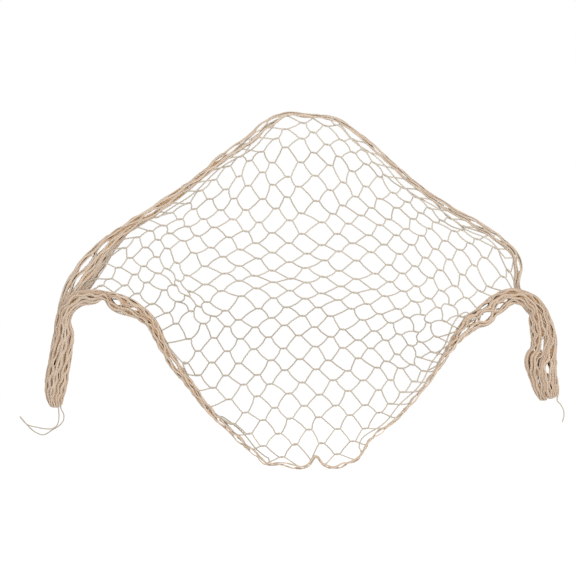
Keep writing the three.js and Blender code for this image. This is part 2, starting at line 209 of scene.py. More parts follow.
def twine_finish(name, pale, deep):
    """Matt twine between a pale and a deep tone."""
    material = bpy.data.materials.new(name)
    material.use_nodes = True
    nodes, links = material.node_tree.nodes, material.node_tree.links
    shader = nodes["Principled BSDF"]
    for socket, value in MATT_FIBRE.items():
        shader.inputs[socket].default_value = value
    look = nodes.new("ShaderNodeGroup")
    look.node_tree = fibre_look
    look.inputs["Pale"].default_value = (*pale, 1)
    look.inputs["Deep"].default_value = (*deep, 1)
    links.new(look.outputs["Colour"], shader.inputs["Base Color"])
    links.new(look.outputs["Normal"], shader.inputs["Normal"])
    return material


panel_twine = twine_finish("panel_twine", pale=(0.57, 0.515, 0.435), deep=(0.415, 0.36, 0.295))


def new_tree(name, sizes):
    """An empty tree with a geometry going through it and named inputs for its sizes."""
    tree = bpy.data.node_groups.new(name, "GeometryNodeTree")
    sockets = [("Geometry", "NodeSocketGeometry"), *sizes, ("Material", "NodeSocketMaterial")]
    for label, kind in sockets:
        tree.interface.new_socket(label, in_out="INPUT", socket_type=kind)
    tree.interface.new_socket("Geometry", in_out="OUTPUT", socket_type="NodeSocketGeometry")
    given = tree.nodes.new("NodeGroupInput")
    result = tree.nodes.new("NodeGroupOutput")

    def add(kind, *inputs, out=0, **settings):
        """One output of a new node, whose inputs are given as socket number and value."""
        node = tree.nodes.new(kind)
        for key, value in settings.items():
            setattr(node, key, value)
        for socket, value in inputs:
            if isinstance(value, bpy.types.NodeSocket):
                tree.links.new(value, node.inputs[socket])
            else:
                node.inputs[socket].default_value = value
        return node.outputs[out]

    def end(geometry):
        real = add("GeometryNodeRealizeInstances", (0, geometry))
        smooth = add("GeometryNodeSetShadeSmooth", (0, real))
        coated = add("GeometryNodeSetMaterial", (0, smooth), (2, given.outputs["Material"]))
        tree.links.new(coated, result.inputs[0])

    return tree, given.outputs, add, end


def twine_tree():
    """Lays twine along each route: its plies turn once in every lay."""
    size, count = "NodeSocketFloat", "NodeSocketInt"
    tree, given, add, end = new_tree(
        "twine",
        [("Crest", size), ("Groove", size), ("Lay", size), ("Step", size), ("Seed", count)],
    )

    def maths(kind, first, second):
        return add("ShaderNodeMath", (0, first), (1, second), operation=kind)

    soft = add("GeometryNodeCurveSplineType", (0, given["Geometry"]), spline_type="CATMULL_ROM")
    even = add("GeometryNodeResampleCurve", (0, soft), (3, given["Step"]), mode="LENGTH")
    chance = add("FunctionNodeRandomValue", (8, given["Seed"]), out=1, data_type="FLOAT")
    toned = add(
        "GeometryNodeStoreNamedAttribute", (0, even), (2, "tone"), (3, chance),
        data_type="FLOAT", domain="CURVE",
    )
    length = add("GeometryNodeSplineParameter", out=1)
    turn = maths("MULTIPLY", maths("DIVIDE", length, given["Lay"]), 2 * math.pi)
    laid = add("GeometryNodeSetCurveTilt", (0, toned), (2, turn))
    ring = add("GeometryNodeCurvePrimitiveCircle", (0, 2 * PLIES), (4, 1.0), mode="RADIUS")
    dip = maths("MODULO", add("GeometryNodeInputIndex"), 2.0)
    reach = add("ShaderNodeMix", (0, dip), (2, given["Crest"]), (3, given["Groove"]))
    place = add("GeometryNodeInputPosition")
    plies = add(
        "GeometryNodeSetPosition", (0, ring),
        (2, add("ShaderNodeVectorMath", (0, place), (3, reach), operation="SCALE")),
    )
    # marks the profile's groove points, where the painted shade between the plies goes
    grooved = add(
        "GeometryNodeStoreNamedAttribute", (0, plies), (2, "groove"), (3, dip),
        data_type="FLOAT", domain="POINT",
    )
    end(add("GeometryNodeCurveToMesh", (0, laid), (1, grooved), (3, True)))
    return tree


def finished_mesh(source, name, tree, **sizes):
    """The tree's result on a source object, as a plain mesh object of its own."""
    modifier = source.modifiers.new(tree.name, "NODES")
    modifier.node_group = tree
    for item in tree.interface.items_tree:
        if item.in_out == "INPUT" and item.name in sizes:
            modifier[item.identifier] = sizes[item.name]
    scene.collection.objects.link(source)
    depsgraph = bpy.context.evaluated_depsgraph_get()
    mesh = bpy.data.meshes.new_from_object(
        source.evaluated_get(depsgraph), preserve_all_data_layers=True, depsgraph=depsgraph
    )
    bpy.data.objects.remove(source)
    piece = bpy.data.objects.new(name, mesh)
    scene.collection.objects.link(piece)
    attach(piece, "root")
    return piece


laying = twine_tree()
TONE_SEED = 11


def lay_twine(name, routes, finish, diameter, lay, step=TWINE_STEP):
    """One piece of twines that follow the given routes."""
    curve = bpy.data.curves.new(name + "_routes", "CURVE")
    curve.dimensions = "3D"
    for route in routes:
        spline = curve.splines.new("POLY")
        spline.points.add(len(route) - 1)
        spline.points.foreach_set("co", np.insert(route, 3, 1, axis=1).ravel())
    source = bpy.data.objects.new(name + "_routes", curve)
    return finished_mesh(
        source, name, laying,
        Crest=PLY_CREST * diameter, Groove=PLY_GROOVE * diameter, Lay=lay, Step=step,
        Seed=TONE_SEED, Material=finish,
    )


for name, points in LOOSE_ENDS.items():
    route = smooth_route(points, ROUTE_POINTS)
    loose_end = lay_twine(name + "_twine", [route], panel_twine, PANEL_DIAMETER, LOOSE_LAY)
    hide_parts(name)

# Upper gathered edge. Netting drawn together along the top: ropes of two or three twines lie round a
# loose bundle and part here and there in long eyes. More of them join it towards the corners and end
# inside the tails.
UPPER_EDGE = MM * np.array([
    # middle x, y, z, half width and half depth in mm
    (-511, -34, -482, 13, 9),
    (-506, -28, -441, 18, 10),
    (-478, -20, -389, 29, 11),
    (-445, -16, -345, 28, 10),
    (-412, -14, -303, 21, 9),
    (-364, -12, -260, 13, 7),
    (-310, -10, -225, 13.5, 6.5),
    (-255, -8, -187, 11.5, 6),
    (-206, -6, -149.5, 8.5, 5.5),
    (-155, -4, -106, 11.5, 6),
    (-97, -3, -66, 11, 6),
    (-54, -1, -30, 10, 6),
    (-7, 0, -5, 6, 5),
    (32, 0, -8, 6, 5),
    (65, -1, -10, 5.5, 5),
    (106, -2, -18, 5.5, 5),
    (142, -3, -41, 6, 5),
    (180, -4, -72, 6.5, 5),
    (227, -6, -115, 7, 5),
    (280, -8, -162, 7.5, 5.5),
    (339, -10, -205, 8.5, 5.5),
    (393, -12, -237, 9, 6),
    (437, -13, -263, 10, 6.5),
    (475, -14, -290, 9, 6.5),
    (507, -14, -320, 9.5, 7),
    (516, -14, -354, 10, 7),
    (513, -16, -396, 8, 7),
    (531, -24, -431, 11, 8),
    (558, -34, -463, 12, 9),
])
UPPER_END = len(UPPER_EDGE) - 1
UPPER_GAPS = [
    # row along the edge, place across it, length and width in mm: the gaps that go right through
    (2.1, -0.2, 60, 8),
    (2.9, -0.5, 66, 10),
    (3.8, -0.3, 56, 8),
    (5.9, 0, 48, 6),
    (10.3, 0.2, 50, 9),
    (11.4, 0, 40, 8),
    (24.8, -0.1, 36, 6),
]
UPPER_SLITS = [
    # the same for finer slits between the outer ropes
    (1.6, -0.5, 40, 5),
    (2.5, 0.2, 36, 4),
    (3.4, 0.1, 38, 5),
    (4.5, -0.3, 40, 5),
    (8.7, 0, 40, 4),
    (9.45, -0.3, 44, 6),
    (10.85, -0.45, 34, 6),
    (14.6, 0, 40, 3.5),
    (17.4, 0, 44, 4),
    (18.6, 0, 44, 4),
    (20.2, 0, 44, 5),
    (21.6, 0, 48, 7),
    (22.8, 0, 40, 6),
]
UPPER_ROPES = {
    # twines in each rope, and the rows between which each one runs
    "long": (2, [(0, UPPER_END)] * 4),
    "left": (3, [(0, end) for end in (2.9, 3.2, 3.5, 3.9, 4.2, 4.6, 5, 5.6, 7.2, 11.2)]),
    "right": (2, [(start, UPPER_END) for start in (19.2, 21.3, 26.6)]),
}
UPPER_EYE = 32 * MM
TWINE_DIAMETER = 2.9 * MM
TWINE_LAY = 22 * MM


def sections(edge, rows):
    """An edge's table read at any rows, on a smooth curve through its sections."""
    last = len(edge) - 1
    i = np.clip(np.floor(rows).astype(int), 0, last - 1)
    f = (rows - i)[:, None]
    p, q, r, s = (edge[np.clip(i + k, 0, last)] for k in (-1, 0, 1, 2))
    leave, reach = (r - p) / 2, (s - q) / 2
    bend = 3 * (r - q) - 2 * leave - reach + f * (2 * (q - r) + leave + reach)
    return q + f * (leave + f * bend)


def unit(vectors):
    """The same ways with a length of 1."""
    return vectors / np.linalg.norm(vectors, axis=-1, keepdims=True)


FRONT_TO_BACK = np.array((0, 1, 0))
SLOPE_ROWS = 1 / 12


def directions(edge, rows):
    """Along an edge, across it in the face of the net, and from front to back."""
    ahead = sections(edge, np.minimum(rows + SLOPE_ROWS, len(edge) - 1))[:, :3]
    along = unit(ahead - sections(edge, np.maximum(rows - SLOPE_ROWS, 0))[:, :3])
    across = unit(np.cross(FRONT_TO_BACK, along))
    return along, across, np.cross(along, across)


def ease(x):
    """A soft step from 0 to 1."""
    x = np.clip(x, 0, 1)
    return x * x * (3 - 2 * x)


ROUTE_STEP = 6 * MM
FINE_STEPS = 1500
# how twines turn in at a foot: bends in degrees, then how far their ends close and drop
FOOT_BENDS = (20, 40, 58, 74, 84)
FOOT_TUCK = (0.12, 0.4)


def stations(edge, first, last, feet):
    """Even steps along an edge: row, run so far, and how a foot closes and drops at either end."""
    fine = np.linspace(first, last, FINE_STEPS)
    steps = np.linalg.norm(np.diff(sections(edge, fine)[:, :3], axis=0), axis=1)
    along = np.append(0, np.cumsum(steps))
    run = np.linspace(0, along[-1], int(along[-1] / ROUTE_STEP))
    rows = np.interp(run, along, fine)
    close, drop = np.zeros(0), np.zeros(0)
    if any(feet):
        bends = np.radians(FOOT_BENDS)
        close = np.append(np.cos(bends), FOOT_TUCK[0])
        drop = np.append(np.sin(bends), FOOT_TUCK[1])
    count = len(close)
    return (
        np.pad(rows, count, mode="edge"),
        np.pad(run, count, mode="edge"),
        np.concatenate([close[::-1], np.ones(len(run)), close]),
        np.concatenate([-feet[0] * drop[::-1], np.zeros(len(run)), feet[1] * drop]),
    )


# how far from a gap twines still give way, in gap widths and mm, and how soon they do at its ends
PARTING_REACH = 1.5
PARTING_MARGIN = 3
PARTING_GAIN = 3


def parted(x, rows, run, half_width, gaps):
    """A twine's way across the edge, pushed aside where it would cross a gap."""
    for row, place, length, width in gaps:
        if not rows[0] < row < rows[-1]:
            continue
        at = int(np.argmin(np.abs(rows - row)))
        lens = np.clip(1 - ((run - run[at]) / (MM * length / 2)) ** 2, 0, 1)
        clear = MM * width / 2 * lens
        band = MM * (PARTING_REACH * width + PARTING_MARGIN)
        slot = place * half_width
        side = -1 if x[at] < slot[at] else 1
        off = side * (x - slot)
        pushed = np.where(off < band, clear + np.maximum(off, 0) * (1 - clear / band), off)
        x = x + side * (pushed - off) * np.minimum(PARTING_GAIN * lens, 1)
    return x


# a rope's domed form, its share of its room in the bundle, and how it waves beside the next ones
ROPE_DOME = 1.8 * MM
ROPE_INSET = PLY_CREST * TWINE_DIAMETER + ROPE_DOME / 2
ROPE_SHARE = 0.8
ROPE_WAVE = 0.24
WAVE_SPREAD = (0.6, 1.4)
WAVE_SHIFT = (-0.5, 0.5)
DRIFT = 0.7
DRIFT_EYES = 1.3
PHASES = (0, 6)
# how twines lie beside and over one another in a rope, stray from it and hang at a foot
TWINE_PITCH = 2.25 * MM
LEAST_PITCH = 0.4 * MM
STAGGER = 0.8
WANDER = 0.3 * MM
WANDER_LENGTHS = (0.06, 0.12)
FOOT_DROPS = (0.72, 1.1)
# how a rope joins and leaves the bundle, and how the bundle is mixed and turns along the edge
FADE_ROWS = 1.1
SINK_GAIN = 1.2
LEAST_SHARE = 0.01
GOLDEN_SHARE = 0.6180339887
TURN_ROWS = 32
RIM_POINTS = 97


def gather(edge, ropes, gaps, span, eye, feet=(0, 0), ring=1.0, seed=1):
    """Routes of the twines of a gathered edge, in one list for each group of its ropes."""
    chance = np.random.default_rng(seed)
    rows, run, close, drop = stations(edge, *span, feet)
    table = sections(edge, rows)
    along, across, depth = directions(edge, rows)
    wide, deep = (ring * (table[:, column] - ROPE_INSET) for column in (3, 4))

    angles = np.linspace(0, 2 * np.pi, RIM_POINTS)
    rim = np.stack([np.outer(wide, np.cos(angles)), np.outer(deep, np.sin(angles))])
    around = np.cumsum(np.linalg.norm(np.diff(rim, axis=2), axis=0), axis=1)
    around = np.insert(around, 0, 0, axis=1)
    girth = around[:, -1]

    bundle = [
        (group, twines, ease((rows - start) / FADE_ROWS + 1) * ease((end - rows) / FADE_ROWS + 1))
        for group, (twines, spans) in ropes.items()
        for start, end in spans
    ]
    mixed = np.argsort([k * GOLDEN_SHARE % 1 for k in range(len(bundle))])
    bundle = [bundle[k] for k in mixed]
    taken = np.cumsum([twines * share for _, twines, share in bundle], axis=0)
    drift = DRIFT * np.sin(run / (DRIFT_EYES * eye) + chance.uniform(*PHASES))

    routes = {group: [] for group in ropes}
    for k, (group, twines, share) in enumerate(bundle):
        part = twines * share / taken[-1]
        pitch = np.minimum(girth * part, twines * TWINE_PITCH / ROPE_SHARE)
        sway = ROPE_WAVE * chance.uniform(*WAVE_SPREAD) * pitch
        wave = sway * np.sin(np.pi * (run / eye + k) + drift + chance.uniform(*WAVE_SHIFT))
        spacing = np.maximum(ROPE_SHARE * pitch / twines, LEAST_PITCH)
        stagger = STAGGER * np.sqrt(np.maximum(TWINE_PITCH**2 - spacing**2, 0))
        droop = drop * chance.uniform(*FOOT_DROPS)
        sunk = close * ease(SINK_GAIN * share)
        for twine in range(twines):
            aside = twine - (twines - 1) / 2
            phase = chance.uniform(*PHASES)
            length = chance.uniform(*WANDER_LENGTHS)
            wander = WANDER * np.sin(2 * np.pi * run / length + phase)
            place = taken[k] / taken[-1] - part / 2 + rows / TURN_ROWS
            place = (place + (wave + wander + aside * spacing) / girth) % 1 * girth
            angle = np.array([np.interp(*row, angles) for row in zip(place, around)])
            out = unit(np.stack([np.cos(angle) / wide, np.sin(angle) / deep], axis=1))
            rise = ROPE_DOME * (0.5 - (2 * aside / twines) ** 2) + (twine % 2 - 0.5) * stagger
            x = sunk * (wide * np.cos(angle) + rise * out[:, 0])
            y = sunk * (deep * np.sin(angle) + rise * out[:, 1])
            x = parted(x, rows, run, table[:, 3], gaps)
            route = table[:, :3] + x[:, None] * across + y[:, None] * depth
            route += droop[:, None] * along
            laid = share > LEAST_SHARE
            if np.count_nonzero(laid) > 1:
                routes[group].append(route[laid])
    return routes


upper_twine = twine_finish("upper_twine", pale=(0.67, 0.56, 0.455), deep=(0.47, 0.37, 0.285))
weathered = (upper_twine, TWINE_DIAMETER, TWINE_LAY)
upper = gather(
    UPPER_EDGE, UPPER_ROPES, UPPER_GAPS + UPPER_SLITS, (0, UPPER_END), UPPER_EYE, seed=3
)
upper_left = lay_twine("upper_gather_left", upper["left"], *weathered)
upper_long = lay_twine("upper_gather", upper["long"] + upper["right"], *weathered)

# Lower gathered edge and tails. The same drawn-together netting runs from the foot of one tail,
# over the corner, along the scalloped hem and up to the other corner and tail. More ropes, which see
# less light, fill the inside of the tails and of the thick ends of both edges; their twine is painted
# a deeper, warmer brown as shade.
LOWER_EDGE = MM * np.array([
    # middle x, y, z, half width and half depth in mm: left tail from its foot up
    (-528, -30, -662, 15, 12),
    (-531, -30, -641, 21.5, 15),
    (-529, -30, -617, 26.5, 17),
    (-523, -30, -578, 26.5, 18),
    (-516, -31, -537, 26, 18),
    (-511, -32, -503, 24, 17),
    (-512, -34, -472, 18, 16),
    # lower left edge
    (-502, -38, -443, 18, 15),
    (-477, -42, -422, 18.5, 14),
    (-446, -45, -417, 18, 13),
    (-418, -47, -413, 11, 10),
    (-389, -50, -430, 21.5, 12),
    (-360, -53, -441, 21, 12),
    (-335, -56, -454, 17, 10),
    (-310, -60, -478, 14, 9),
    (-291, -67, -514, 13, 8),
    (-263, -78, -562, 12, 8),
    (-221, -90, -616, 10, 7),
    (-180, -101, -670, 8, 6),
    (-145, -107, -703, 7, 5.5),
    # scalloped hem
    (-104, -113, -743, 6, 5),
    (-74, -116, -768, 5, 4.5),
    (-52, -118, -788, 4.5, 4),
    (-18, -121, -787, 5, 4.5),
    (20, -122, -796, 5, 4.5),
    (42, -122, -789, 5, 4.5),
    (58, -122, -770, 4.5, 4),
    (74, -122, -788, 4.5, 4),
    (97, -121, -796, 5, 4.5),
    (126, -119, -787, 5, 4.5),
    (153, -116, -775, 5, 4.5),
    (168, -114, -752, 4.5, 4),
    # lower right edge
    (184, -112, -730, 6, 5),
    (228, -106, -697, 5.5, 5),
    (265, -98, -660, 5.5, 5),
    (300, -90, -618, 5.5, 5),
    (328, -81, -581, 6, 5.5),
    (352, -72, -543, 8, 6.5),
    (376, -64, -508, 13, 8),
    (406, -56, -477, 20, 10),
    (436, -51, -458, 22, 11),
    (468, -46, -431, 23, 12),
    (500, -43, -416, 19, 13),
    (529, -40, -421, 18, 14),
    # right tail, down to its foot
    (555, -37, -441, 19.5, 15),
    (564, -34, -468, 26, 17),
    (573, -32, -512, 30, 18),
    (572, -31, -537, 31, 18),
    (567, -30, -562, 38, 18),
    (571, -30, -593, 33, 18),
    (580, -30, -625, 29, 16),
    (586, -30, -646, 22, 13),
])
LOWER_END = len(LOWER_EDGE) - 1
LOWER_GAPS = [
    # row along the edge, place across it, length and width in mm: the gaps that go right through
    (10.9, -0.1, 34, 13),
    (12.4, -0.1, 30, 6),
    (16.1, 0, 52, 6),
    (38.5, 0.1, 34, 6),
    (39.2, -0.1, 28, 10),
    (40.05, 0.2, 38, 17),
    (40.25, -0.6, 34, 6),
    (41, 0.3, 30, 10),
    (46.4, 0.1, 46, 8),
    (48.6, -0.34, 36, 10),
]
LOWER_SLITS = [
    # the same for finer slits between the outer ropes: left tail
    (1.9, 0.38, 24, 4),
    (2.2, -0.35, 24, 4),
    (2.65, 0.1, 26, 3),
    (3.1, 0.62, 24, 4),
    (3.4, -0.27, 30, 4),
    (3.65, 0.4, 30, 4),
    (4.15, -0.4, 28, 4),
    (4.75, 0.6, 24, 3),
    (5.4, -0.2, 26, 4),
    (6.05, -0.65, 28, 4),
    # left arch, hem and right arch
    (13.6, 0.1, 28, 4),
    (14.5, 0, 32, 4),
    (15.2, 0.1, 30, 4),
    (17.1, 0, 40, 5),
    (18, 0, 38, 5),
    (18.8, 0, 34, 5),
    (19.7, 0, 36, 6),
    (20.6, 0, 30, 5),
    (21.6, 0, 26, 4),
    (23.5, 0, 30, 4),
    (28.6, 0, 26, 4),
    (32.4, 0, 36, 5),
    (33.4, 0, 40, 5),
    (34.4, 0, 40, 5),
    (35.4, 0, 36, 4),
    (36.5, 0, 40, 4),
    (37.5, 0.1, 36, 5),
    (39.1, 0.45, 30, 4),
    # right corner and right tail
    (42, -0.4, 26, 5),
    (42.55, 0, 24, 5),
    (43.6, -0.7, 24, 5),
    (44.2, -0.3, 24, 6),
    (44.85, 0.27, 24, 6),
    (45.05, -0.29, 24, 6),
    (45.45, 0.55, 26, 5),
    (45.5, -0.7, 26, 4),
    (45.65, 0, 26, 5),
    (46.15, 0.5, 26, 5),
    (47.05, -0.65, 28, 5),
    (47.4, 0.65, 30, 5),
    (48.2, 0.18, 30, 5),
    (48.3, 0.75, 24, 4),
    (49.3, 0.4, 26, 5),
    (49.8, -0.33, 24, 5),
    (50.5, 0.24, 20, 5),
]
LOWER_ROPES = {
    # twines in each rope, and the rows between which each one runs
    "long": (2, [(0, LOWER_END)] * 2),
    "left": (3, [(0, end) for end in (6, 6.4, 6.8, 7.2, 8.5, 13, 14)]),
    "hem_left": (3, [(0, end) for end in (15.2, 16, 16.8, 17.4, 18.2, 19.5)]),
    "hem_right": (3, [(start, LOWER_END) for start in (35.6, 36.6, 37.3, 37.8, 38.3)]),
    "right": (3, [
        (start, LOWER_END)
        for start in (38.7, 39.1, 39.5, 39.9, 41.5, 43.4, 44.2, 44.6, 45, 45.5, 45.9, 46.4)
    ]),
}
LOWER_EYE = 17 * MM
FOOT_ROWS = (0.15, 50.85)
FOOT_HEIGHTS = (6.5 * MM, 4 * MM)
CORES = [
    # edge, its gaps, the rows that have inner ropes, and the rows between which each one runs
    (
        UPPER_EDGE, UPPER_GAPS, (0.5, 9.2),
        [(0, end) for end in [4.4, 5.2] * 3 + [6.4, 7.4, 8.4]],
    ),
    (
        LOWER_EDGE, LOWER_GAPS, (0.3, 18.4),
        [(0, end) for end in [8.6, 14.6] * 5 + [16.6, 17.2, 17.6]],
    ),
    (
        LOWER_EDGE, LOWER_GAPS, (37.4, 50.7),
        [(start, LOWER_END) for start in [38.2, 38.7, 39.2] + [41.6, 43] * 5],
    ),
]
ROOT_ROW = 1.5
ROOT_LEAVING = (0, 0, 8 * MM)
CORE_TWINES = 3
CORE_RING = 0.8
CORE_STEP = 4 * MM
natural_twine = twine_finish("natural_twine", pale=(0.66, 0.515, 0.395), deep=(0.46, 0.335, 0.245))
natural = (natural_twine, TWINE_DIAMETER, TWINE_LAY)
hem_twine = twine_finish("hem_twine", pale=(0.68, 0.555, 0.445), deep=(0.49, 0.385, 0.295))
bleached = (hem_twine, TWINE_DIAMETER, TWINE_LAY)
# painted shade: the inner ropes get a deeper, warmer brown than the outer twine, for the shade inside
# the bundles
inner_twine_painted_shade = twine_finish("inner_twine_painted_shade", pale=(0.60, 0.38, 0.22), deep=(0.44, 0.275, 0.15))
inner = (inner_twine_painted_shade, TWINE_DIAMETER, TWINE_LAY)
lower = gather(
    LOWER_EDGE, LOWER_ROPES, LOWER_GAPS + LOWER_SLITS, FOOT_ROWS, LOWER_EYE, FOOT_HEIGHTS, seed=5
)
lower_left = lay_twine("lower_gather_left", lower["left"], *natural)
lower_right = lay_twine("lower_gather_right", lower["right"], *natural)
lower_long = lay_twine(
    "lower_gather", lower["long"] + lower["hem_left"] + lower["hem_right"], *bleached
)
core_routes = []
for edge, gaps, rows, spans in CORES:
    core = {"core": (CORE_TWINES, spans)}
    core_routes += gather(edge, core, gaps, rows, LOWER_EYE, ring=CORE_RING)["core"]
gather_cores = lay_twine("gather_cores", core_routes, *inner, step=CORE_STEP)
root_routes = []
for name, (exit_point, *_) in LOOSE_ENDS.items():
    row = ROOT_ROW if "left" in name else LOWER_END - ROOT_ROW
    inside = sections(LOWER_EDGE, np.array([row]))[0, :3]
    leaving = np.array(exit_point) + ROOT_LEAVING
    root_routes.append(np.array([inside, (inside + leaving) / 2, leaving, exit_point]))
loose_end_roots = lay_twine("loose_end_roots", root_routes, panel_twine, PANEL_DIAMETER, LOOSE_LAY)
gathers = [
    upper_left, upper_long, lower_left, lower_right, lower_long, gather_cores, loose_end_roots,
]
for piece in gathers:
    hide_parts("net")

# Open panel. Twine runs to and fro along each row of meshes and is knotted to the row above, so
# every mesh hangs as a soft hexagon. At the panel's rim the twines run into the gathered edges.
LAST_HALF_ROW = 34
OUTERMOST_COLUMN = 22
UPPER_CORNERS = (2.2, 25.4)
LOWER_CORNERS = (8.4, 42.6)
PLACE_ROWS = 1 / 6


def edge_places(edge, corners):
    """Rows and sections of the part of an edge that borders the panel."""
    rows = np.arange(*corners, PLACE_ROWS)
    return rows, sections(edge, rows)


upper_rows, upper_places = edge_places(UPPER_EDGE, UPPER_CORNERS)
lower_rows, lower_places = edge_places(LOWER_EDGE, LOWER_CORNERS)
upper_ways = directions(UPPER_EDGE, upper_rows)[0]
outline = np.vstack([upper_places[:, :3], lower_places[::-1, :3]])


def nearest(places, point):
    """Which section of an edge is nearest to a point, and how far off it is."""
    away = np.hypot(places[:, 0] - point[0], places[:, 2] - point[2])
    i = int(np.argmin(away))
    return i, max(away[i], TWINE_DIAMETER)


def is_inside(point):
    """Whether a point lies in the panel's outline, as seen from the front."""
    here, there = outline, np.roll(outline, -1, axis=0)
    straddles = (here[:, 2] > point[2]) != (there[:, 2] > point[2])
    rise = np.where(straddles, there[:, 2] - here[:, 2], 1)
    crossing = here[:, 0] + (there[:, 0] - here[:, 0]) * (point[2] - here[:, 2]) / rise
    return np.count_nonzero(straddles & (point[0] < crossing)) % 2 == 1


SCATTER_STEPS = (12.9898, 78.233, 37.719)
SCATTER_SCALE = 43758.5453


def scatter(column, half_row, channel):
    """An uneven number from -1 to 1, always the same one for a knot and a channel."""
    across, down, apart = SCATTER_STEPS
    wave = math.sin(column * across + half_row * down + channel * apart) * SCATTER_SCALE
    return 2 * (wave - math.floor(wave)) - 1


MESH_ROWS = np.array([
    # half row, then middle x, y, z and mesh width in mm, the row's tilt, its rise towards the left and
    # the right corner in mm, and its slope under the right rim
    (0, 0, -2, -14, 50, 0, -20, 0, -0.45),
    (3.4, 0, -6, -81, 51, 0, -30, 0, -0.36),
    (7.6, 0, -19, -194, 57, 0, -20, 0, -0.2),
    (9.8, 0, -29, -248, 64, 0, 4, -2, -0.1),
    (12.4, 0, -50, -306, 71, 0, 24, -10, -0.03),
    (15.3, 0, -88, -360, 75, -0.02, 8, -20, 0),
    (19.1, -2, -124, -419, 71, -0.02, -8, -31, 0),
    (21.7, -10, -132, -473, 66, 0, -8, -35, 0),
    (24.1, -14, -136, -531, 66, 0.03, -6, -30, 0),
    (26.2, -10, -138, -585, 68, 0.06, -5, -20, 0),
    (30, 2, -132, -688, 66, 0.07, -15, -8, 0),
    (34, 15, -122, -797, 64, 0.05, -15, 0, 0),
])
# how far rows are drawn in from the sides, in spans: all along the left, and more near the corners
RISE_SPAN = 300 * MM
LEFT_DRAW = 0.06
LEFT_CORNER_DRAW = 0.2
RIGHT_CORNER_DRAW = 0.3
RIGHT_DRAW_FULL_ROW = 14
CORNER_DRAW_START = 0.65
CORNER_DRAW_EASE = 0.3
RIM_SLOPE_EASE = 0.33


def row_place(column, half_row):
    """Where a knot lies in its row, before the netting crowds and folds."""
    i = int(np.clip(np.searchsorted(MESH_ROWS[:, 0], half_row), 1, len(MESH_ROWS) - 1))
    above, below = MESH_ROWS[i - 1], MESH_ROWS[i]
    row = above + (half_row - above[0]) / (below[0] - above[0]) * (below - above)
    x, y, z, width, rise_left, rise_right = MM * row[[1, 2, 3, 4, 6, 7]]
    tilt, rim_slope = row[[5, 8]]
    aside = column * width / 2
    reach = abs(aside) / RISE_SPAN
    past = max(reach - CORNER_DRAW_START, 0)
    corner = past**2 / (past + CORNER_DRAW_EASE)
    if aside < 0:
        aside += RISE_SPAN * (LEFT_DRAW * reach**2 + LEFT_CORNER_DRAW * corner)
    else:
        right_draw = RIGHT_CORNER_DRAW * min(half_row / RIGHT_DRAW_FULL_ROW, 1)
        aside -= RISE_SPAN * right_draw * corner
    reach = abs(aside) / RISE_SPAN
    if aside < 0:
        rise = rise_left * reach**2
    else:
        rise = rise_right * reach**3 + RISE_SPAN * rim_slope * reach**2 / (reach + RIM_SLOPE_EASE)
    return np.array((x + aside, y, z + tilt * aside + rise))


CROWDING = 16 * MM
CROWDING_REACH = 60 * MM
RIM_SLIDE = 12 * MM
SLIDE_SPAN = 120 * MM
SLIDE_FADE = 2


def crowd(point):
    """Draws a point towards the upper edge and on along it, where the netting bunches up."""
    i, away = nearest(upper_places, point)
    inset = max(away - upper_places[i, 3], 0) / CROWDING_REACH
    drawn = CROWDING * inset * math.exp(1 - inset) / away
    point[[0, 2]] += (upper_places[i, [0, 2]] - point[[0, 2]]) * drawn
    slid = RIM_SLIDE * math.exp(-SLIDE_FADE * inset**2) * np.clip(point[0] / SLIDE_SPAN, -1, 1)
    point[[0, 2]] += slid * upper_ways[i, [0, 2]]


FOLDS = [
    # middle x and z, lean in degrees, half length, half width, squeeze and forward rise in mm
    (-222, -415, 42, 100, 38, 18, 18),
    (322, -448, -38, 75, 38, 5, 18),
]
SLACK_SPREAD = 4


def fold(point):
    """Draws a point into the slack folds, and tells how slack the netting is there."""
    slack = 0
    for x, z, lean, half_length, half_width, squeeze, rise in FOLDS:
        cos, sin = math.cos(math.radians(lean)), math.sin(math.radians(lean))
        dx, dz = point[0] - MM * x, point[2] - MM * z
        off = (dx * cos + dz * sin) / (MM * half_width)
        down = (dz * cos - dx * sin) / (MM * half_length)
        strength = math.exp(-down * down)
        draw = MM * squeeze * off * math.exp((1 - off * off) / 2) * strength
        point -= (draw * cos, MM * rise * math.exp(-off * off) * strength, draw * sin)
        slack = max(slack, strength * math.exp(-off * off / SLACK_SPREAD))
    return slack


DRAPE_REACH = 90 * MM


def drape(point):
    """Brings a point to a depth between its own row's and that of the edges near it."""
    pulls = [(point[1], DRAPE_REACH**-2)]
    for places in (upper_places, lower_places):
        i, away = nearest(places, point)
        pulls.append((places[i, 1], away**-2))
    point[1] = sum(y * pull for y, pull in pulls) / sum(pull for _, pull in pulls)


KNOT_SCATTER = (4.6 * MM, 4 * MM, 4.6 * MM)


def knot_place(column, half_row):
    """Where a knot hangs in the draped panel, and how slack the netting is there."""
    point = row_place(column, half_row)
    crowd(point)
    slack = fold(point)
    drape(point)
    for axis in range(3):
        point[axis] += KNOT_SCATTER[axis] * scatter(column, half_row, axis)
    return point, slack


KNOT_CLEARANCE = 8 * MM


def is_clear(places, point):
    """Whether a knot has room beside an edge."""
    i, away = nearest(places, point)
    return away > places[i, 3] + KNOT_CLEARANCE


knots = {}
for half_row in range(LAST_HALF_ROW + 1):
    for column in range(-OUTERMOST_COLUMN, OUTERMOST_COLUMN + 1):
        if (column + half_row) % 2:
            continue
        point, slack = knot_place(column, half_row)
        hangs = is_inside(point) and is_clear(upper_places, point)
        if not (hangs and is_clear(lower_places, point)):
            continue
        beyond = {
            (i, j): knot_place(column + i, half_row + j)[0] for i in (-1, 1) for j in (-1, 1)
        }
        right = unit(beyond[1, -1] + beyond[1, 1] - beyond[-1, -1] - beyond[-1, 1])
        down = beyond[-1, 1] + beyond[1, 1] - beyond[-1, -1] - beyond[1, -1]
        down = unit(down - right * down.dot(right))
        knots[column, half_row] = {
            "middle": point, "slack": slack, "right": right, "down": down, "beyond": beyond,
        }


